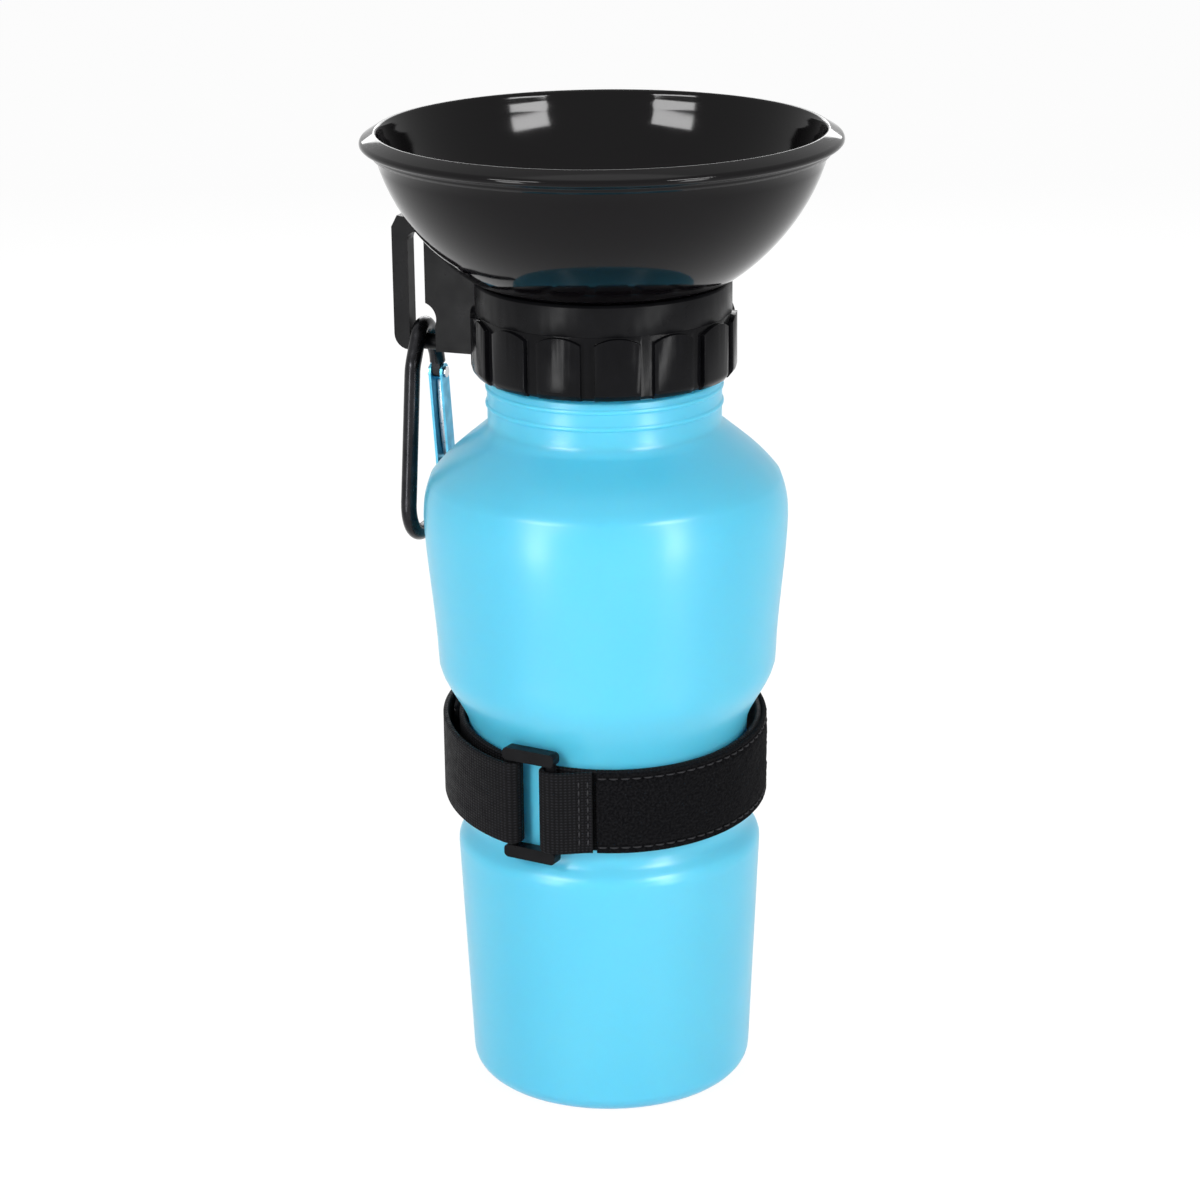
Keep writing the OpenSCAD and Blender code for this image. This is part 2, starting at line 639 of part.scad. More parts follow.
module strap_webbing() {
    color([0.09, 0.09, 0.1]) band(web_path, web_t, web_w);
}

// Puts what is drawn with -Y outwards and z from the strap's middle at the buckle
module at_buckle() {
    p = (right_bar + left_bar) / 2;
    d = right_bar - left_bar;
    translate([p.x, p.y, strap_height(p)]) rotate([0, 0, atan2(d.y, d.x)]) children();
}

module rounded_bar(w, h, r) {
    union() {
        square([w - 2 * r, h], center = true);
        square([w, h - 2 * r], center = true);
        for (x = [-1, 1], y = [-1, 1])
            translate([x * (w / 2 - r), y * (h / 2 - r)]) circle(r);
    }
}

module strap_buckle() {
    half_h = web_w / 2 + 0.6;
    color([0.05, 0.05, 0.055]) at_buckle() union() {
        for (s = [-1, 1]) {
            translate([0, buckle_t / 2, s * (half_h + buckle_end_h / 2)]) rotate([90, 0, 0])
                linear_extrude(buckle_t) rounded_bar(2 * buckle_half_w, buckle_end_h, 1.2);
            translate([s * norm(right_bar - left_bar) / 2, 0, -half_h - 1])
                cylinder(r = buckle_bar_r, h = 2 * half_h + 2);
        }
    }
}

module loop_pile() {
    path = [for (a = stations(pile_start, loop_end, web_step)) strap_at(a, pile_off + loop_t / 2)];
    color([0.07, 0.07, 0.07]) band(path, loop_t, web_w);
}

module hook_tape() {
    path = [for (a = stations(-hook_start, -free_end, web_step)) strap_at(a, hook_off + hook_t / 2)];
    color([0.13, 0.13, 0.13]) band(path, hook_t, web_w - 2);
}

// Bar tacks across the sewn fold
module fold_stitching() {
    stitches = 9;
    pitch = (web_w - 4) / (stitches - 1);
    color("black") for (a = [fold_end - 1.5, fold_end - 4.5], k = [0:stitches - 1]) {
        p = fold_at(a);
        d = fold_at(a + 0.5) - fold_at(a - 0.5);
        translate([p.x, p.y, strap_height(p) - web_w / 2 + 2 + k * pitch]) rotate([0, 0, atan2(d.y, d.x)])
            translate([0, -web_t / 2 - thread_r - 2 * seat_gap, 0])
                cube([2 * thread_r, 2 * thread_r, 0.7 * pitch], center = true);
    }
}

// Threads along both edges of the loop pile, up to where the free end covers it
module pile_stitching() {
    out = pile_off + loop_t + thread_r + seat_gap;
    path = [for (a = stations(pile_start + 2, 358 - free_end, web_step)) strap_at(a, out)];
    color("black") for (s = [-1, 1]) band(path, 2 * thread_r, 2 * thread_r, s * (web_w / 2 - 1.6));
}

bottle();
screw_collar();
hanger();
bowl();
mouth_plug();
neck_gasket();
nozzle_seal();
dip_tube();
carabiner_frame();
carabiner_gate();
gate_rivet();
gate_latch_pin();
gate_leaf_spring();
strap_webbing();
strap_buckle();
loop_pile();
hook_tape();
fold_stitching();
pile_stitching();
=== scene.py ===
"""Looks for a dog's travel water bottle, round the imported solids.

The scene is in metres in the part's frame. The strap's and threads' sizes are written in
millimetres and pass through mm().
"""

import math

import bpy
from mathutils import Matrix, Vector, noise


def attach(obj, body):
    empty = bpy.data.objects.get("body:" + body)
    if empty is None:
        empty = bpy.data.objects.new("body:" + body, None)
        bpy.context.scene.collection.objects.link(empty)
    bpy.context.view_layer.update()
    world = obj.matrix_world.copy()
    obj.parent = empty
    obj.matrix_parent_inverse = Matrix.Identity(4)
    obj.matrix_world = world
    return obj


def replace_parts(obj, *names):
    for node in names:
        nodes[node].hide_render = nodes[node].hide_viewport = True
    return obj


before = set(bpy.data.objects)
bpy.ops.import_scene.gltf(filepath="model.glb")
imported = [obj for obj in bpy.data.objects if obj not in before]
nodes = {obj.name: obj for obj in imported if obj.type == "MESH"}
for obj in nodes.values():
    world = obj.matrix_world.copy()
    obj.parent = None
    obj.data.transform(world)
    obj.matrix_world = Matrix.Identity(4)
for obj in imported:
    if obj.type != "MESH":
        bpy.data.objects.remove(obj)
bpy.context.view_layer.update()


def mm(value):
    return value * 0.001


# ---------------------------------------------------------------- camera, light and floor

CAMERA_TURN = math.radians(20)
CAMERA_PITCH = math.radians(18)
CAMERA_ROLL = -0.011
CAMERA_AWAY = 0.820
CAMERA_HEIGHT = 0.3941
CAMERA_LENS = 101.3
CAMERA_SHIFT = -0.0057

WORLD_LIGHT, WORLD_GLOSS = 0.36, 0.8
FLOOR_TONE, FLOOR_GLOW, FLOOR_SHARE = 0.86, 1.06, 0.88

LAMPS = (
    # name, azimuth and elevation in degrees, distance, width and height in m, watts
    ("key_left", -42, 29.5, 1.0, 0.38, 0.11, 3.6),
    ("key_right", 42, 29.5, 1.0, 0.34, 0.11, 3.4),
    ("strip_left", -41, 1, 0.42, 0.08, 0.28, 0.72),
    ("strip_right", 41, 1, 0.42, 0.08, 0.28, 0.72),
    ("top", 0, 88, 0.9, 0.6, 0.6, 0.8),
    ("back", 180, 28, 1.0, 0.7, 0.5, 4.5),
)
LAMP_AIM = Vector((0, 0, 0.14))


def make_camera():
    data = bpy.data.cameras.new("camera")
    data.sensor_width = 36
    data.lens = CAMERA_LENS
    data.shift_x = CAMERA_SHIFT
    camera = bpy.data.objects.new("camera", data)
    bpy.context.scene.collection.objects.link(camera)
    place = Matrix.Translation(
        (CAMERA_AWAY * math.sin(CAMERA_TURN), -CAMERA_AWAY * math.cos(CAMERA_TURN), CAMERA_HEIGHT)
    )
    turn = Matrix.Rotation(CAMERA_TURN, 4, "Z") @ Matrix.Rotation(math.pi / 2 - CAMERA_PITCH, 4, "X")
    camera.matrix_world = place @ turn @ Matrix.Rotation(CAMERA_ROLL, 4, "Z")
    bpy.context.scene.camera = camera


def softbox(name, azimuth, elevation, away, width, height, watts):
    """A soft area lamp; azimuth is from the camera's direction, to the right."""
    data = bpy.data.lights.new(name, "AREA")
    data.shape = "RECTANGLE"
    data.size = width
    data.size_y = height
    data.energy = watts
    lamp = bpy.data.objects.new(name, data)
    bpy.context.scene.collection.objects.link(lamp)
    a = CAMERA_TURN + math.radians(azimuth)
    e = math.radians(elevation)
    back = Vector((math.sin(a) * math.cos(e), -math.cos(a) * math.cos(e), math.sin(e)))
    lamp.location = LAMP_AIM + back * away
    lamp.rotation_euler = back.to_track_quat("Z", "Y").to_euler()


def seen_ray(tree, glossy):
    """1 for camera and transmission rays, and glossy for glossy rays."""
    path = tree.nodes.new("ShaderNodeLightPath")
    shiny = tree.nodes.new("ShaderNodeMath")
    shiny.operation = "MULTIPLY"
    shiny.inputs[1].default_value = glossy
    tree.links.new(path.outputs["Is Glossy Ray"], shiny.inputs[0])
    first = tree.nodes.new("ShaderNodeMath")
    first.operation = "MAXIMUM"
    tree.links.new(path.outputs["Is Camera Ray"], first.inputs[0])
    tree.links.new(path.outputs["Is Transmission Ray"], first.inputs[1])
    both = tree.nodes.new("ShaderNodeMath")
    both.operation = "MAXIMUM"
    tree.links.new(first.outputs[0], both.inputs[0])
    tree.links.new(shiny.outputs[0], both.inputs[1])
    return both.outputs[0]


def make_world():
    """Lights the object at WORLD_LIGHT and shows the camera plain white."""
    world = bpy.data.worlds.new("studio")
    bpy.context.scene.world = world
    world.use_nodes = True
    tree = world.node_tree
    background = tree.nodes["Background"]
    background.inputs["Color"].default_value = (1, 1, 1, 1)
    level = tree.nodes.new("ShaderNodeMapRange")
    level.inputs["To Min"].default_value = WORLD_LIGHT
    level.inputs["To Max"].default_value = 1.0
    tree.links.new(seen_ray(tree, WORLD_GLOSS), level.inputs["Value"])
    tree.links.new(level.outputs["Result"], background.inputs["Strength"])


def make_floor():
    """A pale floor that looks white and still takes a faint shadow."""
    size = 6.0
    mesh = bpy.data.meshes.new("floor")
    corners = [(-size, -size, 0), (size, -size, 0), (size, size, 0), (-size, size, 0)]
    mesh.from_pydata(corners, [], [(0, 1, 2, 3)])
    floor = bpy.data.objects.new("floor", mesh)
    bpy.context.scene.collection.objects.link(floor)
    material = bpy.data.materials.new("floor")
    material.use_nodes = True
    tree = material.node_tree
    tree.nodes.clear()
    out = tree.nodes.new("ShaderNodeOutputMaterial")
    matt = tree.nodes.new("ShaderNodeBsdfDiffuse")
    matt.inputs["Color"].default_value = (FLOOR_TONE, FLOOR_TONE, FLOOR_TONE, 1)
    white = tree.nodes.new("ShaderNodeEmission")
    white.inputs["Strength"].default_value = FLOOR_GLOW
    mix = tree.nodes.new("ShaderNodeMixShader")
    share = tree.nodes.new("ShaderNodeMath")
    share.operation = "MULTIPLY"
    share.inputs[1].default_value = FLOOR_SHARE
    tree.links.new(seen_ray(tree, 1.0), share.inputs[0])
    tree.links.new(share.outputs[0], mix.inputs["Fac"])
    tree.links.new(matt.outputs[0], mix.inputs[1])
    tree.links.new(white.outputs[0], mix.inputs[2])
    tree.links.new(mix.outputs[0], out.inputs["Surface"])
    mesh.materials.append(material)


# ---------------------------------------------------------------- materials


class Look:
    """A Principled material with procedural detail added by its methods."""

    def __init__(self, name, color, roughness, **sockets):
        self.material = bpy.data.materials.new(name)
        self.material.use_nodes = True
        self.tree = self.material.node_tree
        self.shader = self.tree.nodes["Principled BSDF"]
        self.shader.inputs["Base Color"].default_value = (*color, 1)
        self.shader.inputs["Roughness"].default_value = roughness
        for socket, value in sockets.items():
            self.shader.inputs[socket.replace("_", " ")].default_value = value
        self.normal = None

    def node(self, kind, **settings):
        made = self.tree.nodes.new(kind)
        for key, value in settings.items():
            if key in made.inputs:
                made.inputs[key].default_value = value
            else:
                setattr(made, key, value)
        return made

    def link(self, output, target):
        self.tree.links.new(output, target)

    def place(self, stretch=(1, 1, 1), uv=False):
        """Object or UV coordinates in metres, stretched along each axis."""
        coords = self.node("ShaderNodeTexCoord")
        scale = self.node("ShaderNodeMapping")
        scale.inputs["Scale"].default_value = stretch
        self.link(coords.outputs["UV" if uv else "Object"], scale.inputs["Vector"])
        return scale.outputs["Vector"]

    def noise(self, scale, detail=3.0, stretch=(1, 1, 1), uv=False):
        made = self.node("ShaderNodeTexNoise", Scale=scale, Detail=detail)
        self.link(self.place(stretch, uv), made.inputs["Vector"])
        return made.outputs["Fac"]

    def wave(self, pitch, axis, uv=True):
        """Ridges across one axis, a pitch apart in metres."""
        made = self.node("ShaderNodeTexWave", wave_type="BANDS", bands_direction=axis)
        made.inputs["Scale"].default_value = 1
        across = math.tau / 20 / pitch
        self.link(self.place((across, across, across), uv), made.inputs["Vector"])
        return made.outputs["Fac"]

    def ramp(self, value, low, high, start=0.3, end=0.7):
        made = self.node("ShaderNodeMapRange", clamp=True)
        made.inputs["From Min"].default_value = start
        made.inputs["From Max"].default_value = end
        made.inputs["To Min"].default_value = low
        made.inputs["To Max"].default_value = high
        self.link(value, made.inputs["Value"])
        return made.outputs["Result"]

    def vary_color(self, value, low, high, start=0.3, end=0.7):
        made = self.node("ShaderNodeValToRGB")
        made.color_ramp.elements[0].position = start
        made.color_ramp.elements[0].color = (*low, 1)
        made.color_ramp.elements[1].position = end
        made.color_ramp.elements[1].color = (*high, 1)
        self.link(value, made.inputs["Fac"])
        self.link(made.outputs["Color"], self.shader.inputs["Base Color"])
        return self

    def vary_roughness(self, value, low, high, start=0.3, end=0.7):
        self.link(self.ramp(value, low, high, start, end), self.shader.inputs["Roughness"])
        return self

    def bump(self, value, height, strength=1.0):
        made = self.node("ShaderNodeBump", Strength=strength, Distance=height)
        self.link(value, made.inputs["Height"])
        if self.normal:
            self.link(self.normal, made.inputs["Normal"])
        self.normal = made.outputs["Normal"]
        self.link(self.normal, self.shader.inputs["Normal"])
        return self


def frosted_blue():
    look = Look(
        "frosted_blue",
        (0.10, 0.57, 0.88),
        0.30,
        IOR=1.5,
        Subsurface_Weight=0.5,
        Subsurface_Radius=(0.002, 0.006, 0.008),
        Subsurface_Scale=1.0,
        Transmission_Weight=0.2,
    )
    cloud = look.noise(24, 2.0, (1, 1, 0.35))
    look.vary_color(cloud, (0.085, 0.55, 0.86), (0.11, 0.59, 0.89))
    look.vary_roughness(look.noise(60, 2.0), 0.28, 0.33)
    look.bump(look.noise(1800, 1.0), mm(0.01), 0.15)
    look.bump(look.noise(45, 1.0, (1, 1, 0.5)), mm(0.25), 0.3)
    return look.material


def smoke_gloss():
    look = Look(
        "smoke_gloss",
        (0.005, 0.004, 0.005),
        0.07,
        IOR=1.5,
        Transmission_Weight=0.15,
        Specular_IOR_Level=0.12,
    )
    look.vary_color(look.noise(18, 2.0), (0.002, 0.0015, 0.002), (0.003, 0.0025, 0.003))
    look.vary_roughness(look.noise(90, 5.0), 0.05, 0.10)
    look.bump(look.noise(70, 1.0), mm(0.1), 0.12)
    return look.material


def satin_black(name, color, roughness):
    look = Look(name, color, roughness, IOR=1.48, Specular_IOR_Level=0.1)
    paler = tuple(c * 1.6 for c in color)
    look.vary_color(look.noise(120, 4.0), color, paler)
    look.vary_roughness(look.noise(220, 5.0), roughness - 0.06, roughness + 0.08)
    look.bump(look.noise(3500, 2.0), mm(0.02), 0.35)
    return look.material


def moulded_blue():
    look = Look("moulded_blue", (0.03, 0.45, 0.78), 0.3, IOR=1.48, Subsurface_Weight=0.2)
    look.vary_color(look.noise(80, 3.0), (0.025, 0.42, 0.75), (0.04, 0.48, 0.80))
    look.bump(look.noise(900, 2.0), mm(0.02), 0.2)
    return look.material


def soft_silicone():
    look = Look("silicone", (0.72, 0.76, 0.76), 0.5, IOR=1.42, Subsurface_Weight=0.3)
    look.vary_roughness(look.noise(300, 3.0), 0.42, 0.58)
    look.bump(look.noise(1500, 2.0), mm(0.02), 0.2)
    return look.material


def clear_tube():
    look = Look("clear_tube", (0.62, 0.86, 0.95), 0.25, IOR=1.5, Transmission_Weight=0.6)
    look.vary_roughness(look.noise(140, 3.0, (1, 1, 0.1)), 0.2, 0.32)
    look.bump(look.noise(800, 1.0, (1, 1, 0.02)), mm(0.02), 0.2)
    return look.material


def alloy(name, color, roughness):
    look = Look(name, color, roughness, Metallic=0.85, IOR=1.6)
    paler = tuple(min(1, c * 1.5 + 0.01) for c in color)
    look.vary_color(look.noise(260, 3.0), color, paler, 0.35, 0.8)
    look.vary_roughness(look.noise(500, 4.0), roughness - 0.05, roughness + 0.1)
    look.bump(look.noise(2600, 2.0), mm(0.01), 0.3)
    return look.material


def spring_steel():
    look = Look("spring_steel", (0.62, 0.63, 0.64), 0.3, Metallic=1.0)
    look.vary_roughness(look.noise(1800, 2.0, (1, 0.05, 1)), 0.24, 0.4)
    look.bump(look.noise(3000, 1.0, (1, 0.03, 1)), mm(0.01), 0.4)
    return look.material


def woven():
    look = Look(
        "webbing",
        (0.008, 0.008, 0.009),
        0.7,
        Specular_IOR_Level=0.08,
        Sheen_Weight=0.01,
        Sheen_Roughness=0.5,
    )
    ribs = look.wave(mm(1.05), "X")
    warp = look.wave(mm(0.75), "Y")
    cross = look.node("ShaderNodeMath", operation="MULTIPLY")
    look.link(ribs, cross.inputs[0])
    look.link(warp, cross.inputs[1])
    # The weave's colour follows its bump height: darker in the dips between the yarns, which is painted
    # shade
    look.vary_color(cross.outputs[0], (0.002, 0.002, 0.0025), (0.011, 0.011, 0.013), 0.1, 0.9)
    look.vary_roughness(look.noise(400, 3.0, uv=True), 0.52, 0.7)
    look.bump(cross.outputs[0], mm(0.22), 0.9)
    look.bump(look.noise(5000, 3.0, uv=True), mm(0.05), 0.5)
    return look.material


def loop_fuzz():
    look = Look(
        "loop_fuzz",
        (0.005, 0.005, 0.0055),
        0.9,
        Specular_IOR_Level=0.05,
        Sheen_Weight=0.01,
        Sheen_Roughness=0.6,
    )
    curls = look.noise(1600, 4.0, uv=True)
    # The pile's colour follows its bump height: darker in the hollows between the curls, which is
    # painted shade
    look.vary_color(curls, (0.001, 0.001, 0.0015), (0.008, 0.008, 0.009), 0.4, 0.75)
    look.bump(curls, mm(0.5), 1.0)
    look.bump(look.noise(500, 2.0, uv=True), mm(0.4), 0.6)
    return look.material


def sewing_thread():
    look = Look("sewing_thread", (0.012, 0.012, 0.013), 0.55, Specular_IOR_Level=0.3)
    twist = look.wave(mm(0.35), "DIAGONAL")
    # The thread's colour follows its bump height: darker in the grooves of the twist, which is painted
    # shade
    look.vary_color(twist, (0.01, 0.01, 0.012), (0.03, 0.03, 0.033))
    look.bump(twist, mm(0.06), 0.8)
    return look.material


# ---------------------------------------------------------------- mesh helpers


def make_object(name, points, faces, body, material, uvs=None):
    """A mesh object that rides on a body; uvs has one (u, v) list for each face."""
    mesh = bpy.data.meshes.new(name)
    mesh.from_pydata(points, [], faces)
    if uvs:
        layer = mesh.uv_layers.new(name="UVMap")
        for polygon, corners in zip(mesh.polygons, uvs):
            for loop, corner in zip(polygon.loop_indices, corners):
                layer.data[loop].uv = corner
    mesh.polygons.foreach_set("use_smooth", [True] * len(mesh.polygons))
    mesh.materials.append(material)
    mesh.update()
    made = bpy.data.objects.new(name, mesh)
    bpy.context.scene.collection.objects.link(made)
    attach(made, body)
    return made


def resample(points, step):
    """The same polyline with evenly spaced points, smoothed between them."""
    out = [points[0]]
    spare = 0.0
    for i in range(len(points) - 1):
        before = points[max(i - 1, 0)]
        a, b = points[i], points[i + 1]
        after = points[min(i + 2, len(points) - 1)]
        run = (b - a).length
        s = step - spare
        while s <= run:
            t = s / run
            out.append(
                0.5
                * (
                    2 * a
                    + (b - before) * t
                    + (2 * before - 5 * a + 4 * b - after) * t * t
                    + (3 * a - before - 3 * b + after) * t * t * t
                )
            )
            s += step
        spare = run - (s - step)
    out.append(points[-1])
    return out


# ---------------------------------------------------------------- the hand strap, in mm

STRAP_RX, STRAP_RY, STRAP_CY = 37.4, 38.15, 1.75
STRAP_Z, STRAP_DROP, STRAP_LEAN = 87.6, 2.5, 1.5
WEB_W, WEB_T = 21.5, 1.5
SEAM_UP = WEB_W / 2 - 1.6
PILE_T, HOOK_T = 1.6, 0.9
BAR_OUT, WRAP_R, OVER_BAR = 3.05, 2.3, 5.35
FOLD_OFF, PILE_OFF, HOOK_OFF, FREE_OFF = 2.33, 1.54, 3.18, 4.87
RIGHT_BAR, LEFT_BAR = -1.34, -17.66
FOLD_END, FREE_END, HOOK_START = 13.5, 125.0, 82.0
PILE_START, PILE_END = 15.0, 290.0


def strap_at(angle, out):
    """A point of the strap's oval; angle in degrees from -Y towards +X."""
    a = math.radians(angle)
    x = (STRAP_RX + out) * math.sin(a)
    y = STRAP_CY - (STRAP_RY + out) * math.cos(a)
    return Vector((x, y))


def strap_height(point):
    return STRAP_Z + STRAP_DROP * (point.y - STRAP_CY) / STRAP_RY - STRAP_LEAN * point.x / STRAP_RX


def stations(start, end, step):
    count = math.ceil(abs(end - start) / step)
    return [start + (end - start) * i / count for i in range(count + 1)]


def ease(t):
    t = min(max(t, 0.0), 1.0)
    return t * t * (3 - 2 * t)


def bar_wrap(angle, side):
    """Half a turn round a buckle bar; side is -1 for the right bar."""
    a = math.radians(angle)
    out = Vector((math.sin(a), -math.cos(a)))
    along = Vector((math.cos(a), math.sin(a)))
    centre = strap_at(angle, BAR_OUT)
    turn = [math.pi * i / 12 for i in range(1, 12)]
    return [centre - side * WRAP_R * (math.cos(t) * out - math.sin(t) * along) for t in turn]


def fold_out(angle):
    return FOLD_OFF + (OVER_BAR - FOLD_OFF) * ease((FOLD_END - angle) / (FOLD_END - RIGHT_BAR))


def free_out(angle):
    return OVER_BAR + (FREE_OFF - OVER_BAR) * ease((LEFT_BAR - angle) / 40)


def web_path():
    fold = [strap_at(a, fold_out(a)) for a in stations(FOLD_END, RIGHT_BAR, 2)]
    round_it = [strap_at(a, WEB_T / 2) for a in stations(RIGHT_BAR, 360 + LEFT_BAR, 2)]
    free = [strap_at(a, free_out(a)) for a in stations(LEFT_BAR, -FREE_END, 2)]
    return fold + bar_wrap(RIGHT_BAR, -1) + round_it + bar_wrap(LEFT_BAR, 1) + free


def ribbon_section(width, thick, edge, across):
    """Section of a flat band as (out, up) points, out side first, with rounded edges."""
    half_w, half_t = width / 2, thick / 2
    flat = [(-half_w + edge) + (width - 2 * edge) * i / across for i in range(across + 1)]
    corner = [math.radians(a) for a in (22.5, 45, 67.5, 90, 112.5, 135, 157.5)]
    top = [
        (half_t * math.cos(a), half_w - edge + edge * math.sin(a))
        for a in corner
    ]
    foot = [(-o, -u) for o, u in top]
    return [(half_t, u) for u in flat] + top + [(-half_t, -u) for u in flat] + foot


def ribbon(name, path, width, thick, edge, across, step, material, lift=None):
    """A band along a plan path. lift(s, out, up) moves a surface point outwards, in mm."""
    line = resample(path, step)
    section = ribbon_section(width, thick, edge, across)
    count = len(section)
    round_it = [0.0]
    for k in range(count):
        a, b = section[k], section[(k + 1) % count]
        round_it.append(round_it[-1] + math.hypot(b[0] - a[0], b[1] - a[1]))
    points, along = [], [0.0]
    for i, p in enumerate(line):
        if i:
            along.append(along[-1] + (p - line[i - 1]).length)
        d = line[min(i + 1, len(line) - 1)] - line[max(i - 1, 0)]
        out = Vector((d.y, -d.x)).normalized()
        z = strap_height(p)
        for o, u in section:
            extra = lift(along[i], o, u) if lift else 0.0
            q = p + out * (o + (extra if o > 0 else 0.0))
            points.append((mm(q.x), mm(q.y), mm(z + u)))
    faces, uvs = [], []
    for i in range(len(line) - 1):
        for k in range(count):
            a, b = i * count + k, i * count + (k + 1) % count
            faces.append((a, b, b + count, a + count))
            u0, u1 = mm(along[i]), mm(along[i + 1])
            v0, v1 = mm(round_it[k]), mm(round_it[k + 1])
            uvs.append([(u0, v0), (u0, v1), (u1, v1), (u1, v0)])
    last = (len(line) - 1) * count
    for start, ring in ((0, range(count - 1, -1, -1)), (last, range(count))):
        faces.append(tuple(start + k for k in ring))
        uvs.append([(mm(section[k][0]), mm(section[k][1])) for k in ring])
    return make_object(name, points, faces, "strap", material, uvs)


def stitches(name, spots, radius, material, bow=0.35):
    """Threads between pairs of surface spots (a, b, outward normal), each bowed outwards."""
    sides, rings = 6, 5
    points, faces = [], []
    for a, b, out in spots:
        along = (b - a).normalized()
        other = along.cross(out).normalized()
        first = len(points)
        for j in range(rings):
            t = j / (rings - 1)
            middle = a.lerp(b, t) + out * (mm(bow) * math.sin(math.pi * t) - mm(0.12))
            size = mm(radius) * (0.55 + 0.45 * math.sin(math.pi * t) ** 0.5)
            for k in range(sides):
                angle = math.tau * k / sides
                points.append(middle + size * (math.cos(angle) * out + math.sin(angle) * other))
        for j in range(rings - 1):
            for k in range(sides):
                c, d = first + j * sides + k, first + j * sides + (k + 1) % sides
                faces.append((c, d, d + sides, c + sides))
        faces.append(tuple(first + k for k in range(sides - 1, -1, -1)))
        faces.append(tuple(first + (rings - 1) * sides + k for k in range(sides)))
    return make_object(name, [tuple(p) for p in points], faces, "strap", material)


def strap_spot(angle, out, up):
    p = strap_at(angle, out)
    return Vector((mm(p.x), mm(p.y), mm(strap_height(p) + up)))


def outward(angle):
    a = math.radians(angle)
    return Vector((math.sin(a), -math.cos(a), 0))


def make_strap():
    cloth, fuzz, thread = woven(), loop_fuzz(), sewing_thread()
    hooks = satin_black("hook_plastic", (0.02, 0.02, 0.021), 0.55)

    webbing = ribbon("webbing", web_path(), WEB_W, WEB_T, 0.55, 14, 0.9, cloth)
    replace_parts(webbing, "strap_webbing")

    def curls(s, out, up):
        edge = min(1.0, (WEB_W / 2 - abs(up)) / 1.4)
        seam = 0.55 if abs(abs(up) - SEAM_UP) < 0.7 else 0.0
        fine = noise.noise(Vector((s * 0.9, up * 0.9, 3.0)))
        grain = fine + 0.6 * noise.noise(Vector((s * 0.35, up * 0.35, 9.0)))
        return -0.25 - seam + 0.3 * grain * max(edge, 0.0)

    path = [strap_at(a, PILE_OFF + PILE_T / 2) for a in stations(PILE_START, PILE_END, 2)]
    pile = ribbon("pile", path, WEB_W, PILE_T, 0.6, 30, 0.8, fuzz, curls)
    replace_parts(pile, "loop_pile")
    path = [strap_at(a, HOOK_OFF + HOOK_T / 2) for a in stations(-HOOK_START, -FREE_END, 2)]
    hook = ribbon("hook", path, WEB_W - 2, HOOK_T, 0.3, 8, 1.5, hooks)
    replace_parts(hook, "hook_tape")
    spots = []
    pitch = (WEB_W - 4) / 8
    for angle in (FOLD_END - 1.5, FOLD_END - 4.5):
        for k in range(8):
            up = 2 - WEB_W / 2 + (k + 0.5) * pitch
            out = fold_out(angle) + WEB_T / 2
            low = strap_spot(angle, out, up - 0.4 * pitch)
            high = strap_spot(angle, out, up + 0.4 * pitch)
            spots.append((low, high, outward(angle)))
    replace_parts(stitches("fold_stitches", spots, 0.25, thread), "fold_stitching")
    spots = []
    for up in (-SEAM_UP, SEAM_UP):
        for a in stations(PILE_START + 2, PILE_END - 2, 4.2):
            out = PILE_OFF + PILE_T - 0.55
            spots.append((strap_spot(a - 1.6, out, up), strap_spot(a + 1.6, out, up), outward(a)))
    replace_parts(stitches("pile_stitches", spots, 0.25, thread, 0.3), "pile_stitching")


# ---------------------------------------------------------------- screw threads


THREAD_PITCH = 4.0


def helix_thread(name, body, material, root, crest, start, turns, phase, inwards=False):
    """A tapered-out trapezoid ridge along a right-hand helix; radii and start in mm."""
    steps = int(72 * turns)
    points, faces = [], []
    for i in range(steps + 1):
        t = i / steps
        angle = math.radians(phase) + math.tau * turns * t
        fade = min(1.0, t * turns * 6, (1 - t) * turns * 6)
        tip = root + (crest - root) * fade
        z = start + THREAD_PITCH * turns * t
        base = root + (0.2 if inwards else -0.2)
        for r, dz in ((base, -1.1), (tip, -0.35), (tip, 0.35), (base, 1.1)):
            points.append((mm(r * math.cos(angle)), mm(r * math.sin(angle)), mm(z + dz)))
    for i in range(steps):
        for k in range(4):
            a, b = 4 * i + k, 4 * i + (k + 1) % 4
            faces.append((a, a + 4, b + 4, b) if inwards else (a, b, b + 4, a + 4))
    last = 4 * steps
    faces += [(3, 2, 1, 0), (last, last + 1, last + 2, last + 3)]
    return make_object(name, points, faces, body, material)


# ---------------------------------------------------------------- dressing the solids


def weld(piece):
    """Joins the seams between a solid's faces."""
    joined = piece.modifiers.new("weld", "WELD")
    joined.merge_threshold = mm(0.002)


def soften(piece):
    """Shades a blown piece as one skin, without creases where two curves meet."""
    weld(piece)
    skin = piece.modifiers.new("skin", "WEIGHTED_NORMAL")
    skin.mode = "FACE_AREA_WITH_ANGLE"
    skin.keep_sharp = False


EDGE_ANGLE = math.radians(30)


def dress(names, material, bevel=None):
    """Gives CAD nodes their material and, for moulded edges, a rounding in mm."""
    for name in names:
        piece = nodes[name]
        piece.data.materials.clear()
        piece.data.materials.append(material)
        if bevel:
            weld(piece)
            soft = piece.modifiers.new("edges", "BEVEL")
            soft.width = mm(bevel)
            soft.segments = 2
            soft.limit_method = "ANGLE"
            soft.angle_limit = EDGE_ANGLE
            soft.harden_normals = True


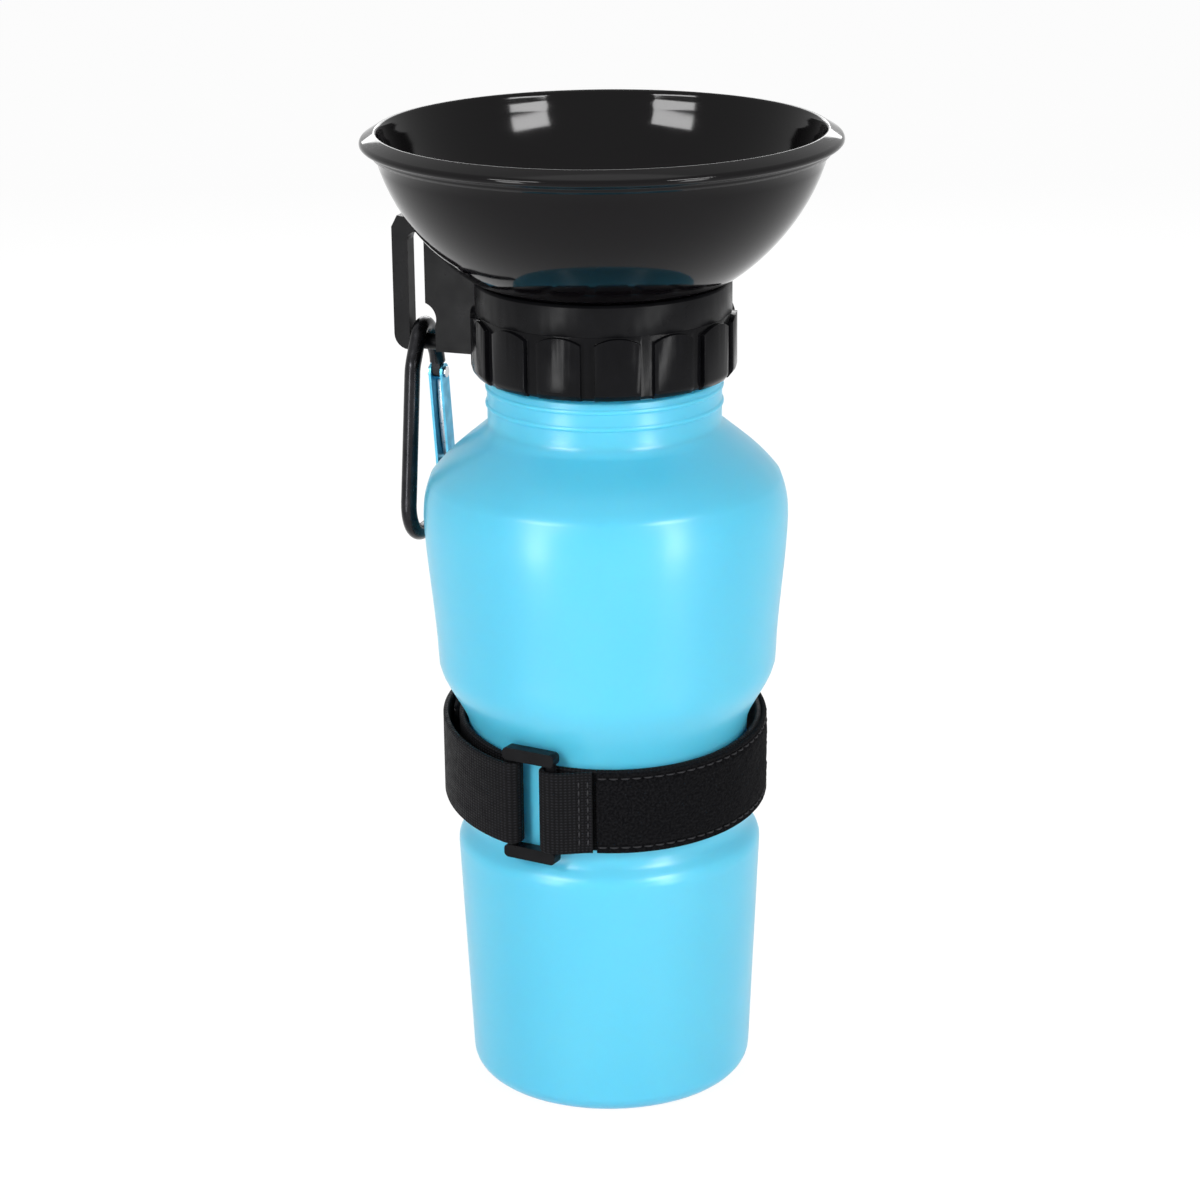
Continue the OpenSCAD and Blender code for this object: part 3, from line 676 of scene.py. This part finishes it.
def shape_rim(bowl):
    """The moulded rim falls outwards from its inner ridge; the solid has it level."""
    wall_r, edge_r, fall = mm(55.6), mm(59.35), mm(2.2)
    kink_z, kink_reach, kink_fill = mm(245.1), mm(0.7), mm(0.12)
    tree = bpy.data.node_groups.new("rim_form", "GeometryNodeTree")
    tree.interface.new_socket("Geometry", in_out="INPUT", socket_type="NodeSocketGeometry")
    tree.interface.new_socket("Geometry", in_out="OUTPUT", socket_type="NodeSocketGeometry")

    def ramp(value, start, end, high):
        made = tree.nodes.new("ShaderNodeMapRange")
        limits = {"From Min": start, "From Max": end, "To Min": 0.0, "To Max": high}
        for socket, number in limits.items():
            made.inputs[socket].default_value = number
        tree.links.new(value, made.inputs["Value"])
        return made.outputs["Result"]

    def vector_math(operation, first):
        made = tree.nodes.new("ShaderNodeVectorMath")
        made.operation = operation
        tree.links.new(first, made.inputs[0])
        return made

    place = tree.nodes.new("GeometryNodeInputPosition").outputs[0]
    flat = vector_math("MULTIPLY", place)
    flat.inputs[1].default_value = (1, 1, 0)
    radius = vector_math("LENGTH", flat.outputs[0])
    out = vector_math("NORMALIZE", flat.outputs[0])
    axes = tree.nodes.new("ShaderNodeSeparateXYZ")
    tree.links.new(place, axes.inputs[0])
    at_kink = tree.nodes.new("ShaderNodeMath")
    at_kink.operation = "COMPARE"
    at_kink.inputs[1].default_value = kink_z
    at_kink.inputs[2].default_value = kink_reach
    tree.links.new(axes.outputs["Z"], at_kink.inputs[0])
    push = vector_math("SCALE", out.outputs[0])
    tree.links.new(ramp(at_kink.outputs[0], 0.0, 1.0, kink_fill), push.inputs["Scale"])
    drop = tree.nodes.new("ShaderNodeCombineXYZ")
    tree.links.new(ramp(radius.outputs["Value"], wall_r, edge_r, -fall), drop.inputs["Z"])
    total = vector_math("ADD", push.outputs[0])
    tree.links.new(drop.outputs[0], total.inputs[1])
    move = tree.nodes.new("GeometryNodeSetPosition")
    tree.links.new(total.outputs[0], move.inputs["Offset"])
    tree.links.new(tree.nodes.new("NodeGroupInput").outputs[0], move.inputs["Geometry"])
    tree.links.new(move.outputs[0], tree.nodes.new("NodeGroupOutput").inputs[0])
    bowl.modifiers.new("rim_form", "NODES").node_group = tree


def dress_solids():
    blue = frosted_blue()
    black = satin_black("satin_black", (0.0025, 0.0025, 0.003), 0.19)
    rubber = soft_silicone()
    steel = spring_steel()
    dress(["bottle"], blue)
    soften(nodes["bottle"])
    dress(["bowl"], smoke_gloss())
    shape_rim(nodes["bowl"])
    soften(nodes["bowl"])
    dress(["screw_collar"], black, bevel=0.25)
    dress(["hanger", "strap_buckle"], satin_black("matt_black", (0.003, 0.003, 0.0035), 0.32), bevel=0.3)
    dress(["mouth_plug"], moulded_blue())
    dress(["neck_gasket", "nozzle_seal"], rubber)
    dress(["dip_tube"], clear_tube())
    dress(["carabiner_frame"], alloy("black_alloy", (0.014, 0.014, 0.016), 0.22))
    dress(["carabiner_gate"], alloy("blue_alloy", (0.09, 0.38, 0.54), 0.36))
    dress(["gate_rivet", "gate_latch_pin", "gate_leaf_spring"], steel)
    helix_thread(
        "neck_thread", "bottle", blue, root=27.7, crest=28.7, start=190.6, turns=2.6, phase=0
    )
    helix_thread(
        "collar_thread", "collar", black,
        root=29.05, crest=28.0, start=190.9, turns=2.2, phase=207, inwards=True,
    )


make_camera()
make_world()
make_floor()
for lamp in LAMPS:
    softbox(*lamp)
dress_solids()
make_strap()
bpy.context.scene.view_settings.view_transform = "Standard"
